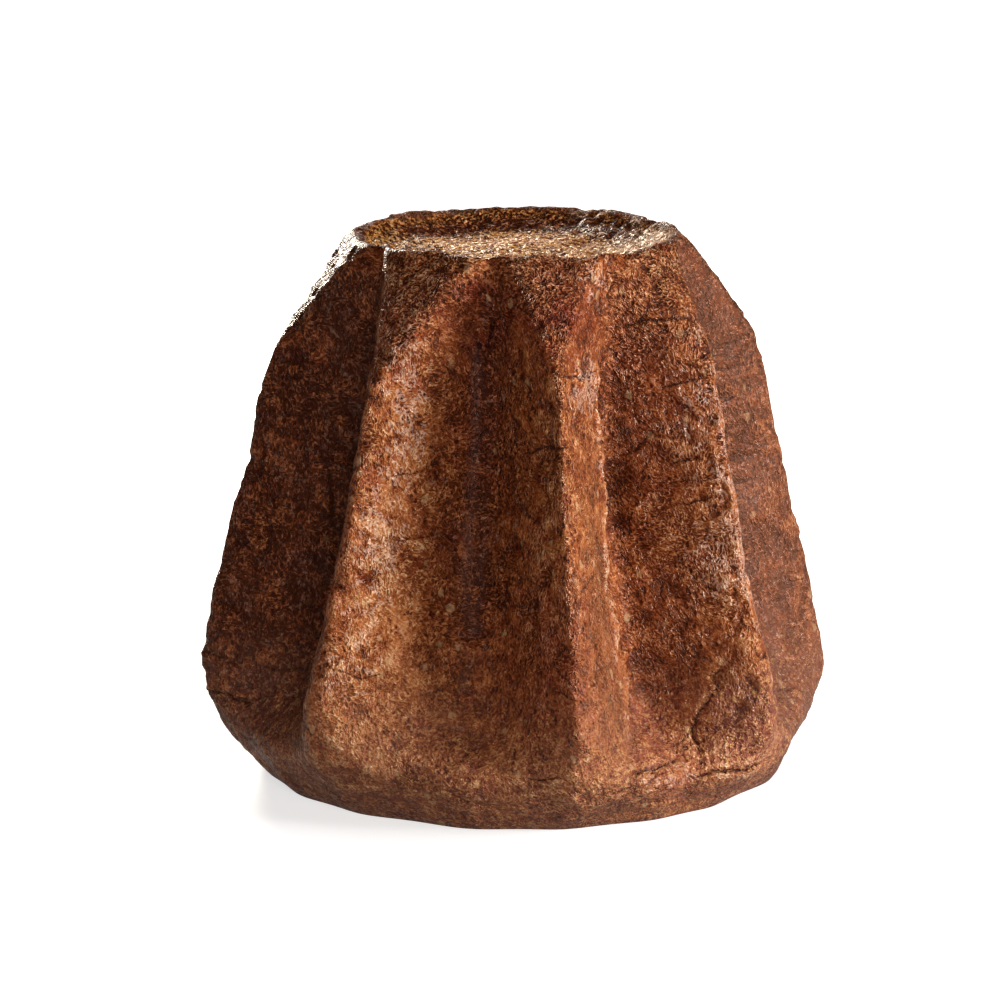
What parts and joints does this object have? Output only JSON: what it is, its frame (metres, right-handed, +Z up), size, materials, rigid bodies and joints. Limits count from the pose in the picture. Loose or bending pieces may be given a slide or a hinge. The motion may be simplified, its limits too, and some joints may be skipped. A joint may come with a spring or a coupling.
{
  "type": "pandoro",
  "caption": "Tall star-shaped Verona cake with deep rounded valleys, sloping shoulders, a shallow dish on top and a rounded collar at the foot.",
  "frame": {"origin": "middle of the cake's outline from above, on the plane it stands on", "axes": "+Z up through the dish, the way the cake is served; -Y is the front, with two valleys left and right of the front ridge"},
  "size_m": [0.2216, 0.2208, 0.1915],
  "materials": {
    "crust": "baked crust, chocolate brown to golden brown, mostly matt with a faint buttery sheen"
  },
  "bodies": {
    "root": {"pandoro": "crust"}
  },
  "joints": []
}
